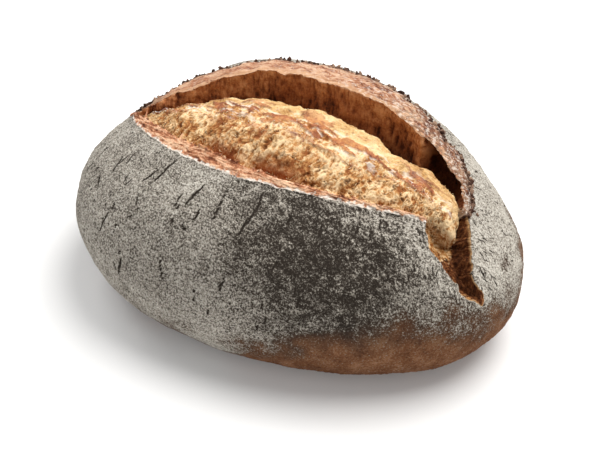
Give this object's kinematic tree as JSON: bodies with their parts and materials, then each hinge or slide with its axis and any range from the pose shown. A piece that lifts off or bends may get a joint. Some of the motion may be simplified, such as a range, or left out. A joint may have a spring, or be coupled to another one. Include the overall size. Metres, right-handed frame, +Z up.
{
  "type": "rye bread loaf",
  "caption": "Oval rye loaf with a floured crust, torn open along its top beside a raised ear, cracked at one end and flat underneath.",
  "frame": {"origin": "centre of the loaf's outline, on the surface that its base rests on", "axes": "+X along the loaf towards its cracked end, +Y across it towards the raised ear, +Z up"},
  "size_m": [0.24, 0.1956, 0.1013],
  "materials": {
    "floured_crust": "browned bread crust under a matt dusting of flour",
    "torn_crust": "matt torn inner side of the crust, reddish brown",
    "crumb": "matt fibrous crumb, golden tan"
  },
  "bodies": {
    "root": {"loaf": "floured_crust"}
  },
  "joints": []
}
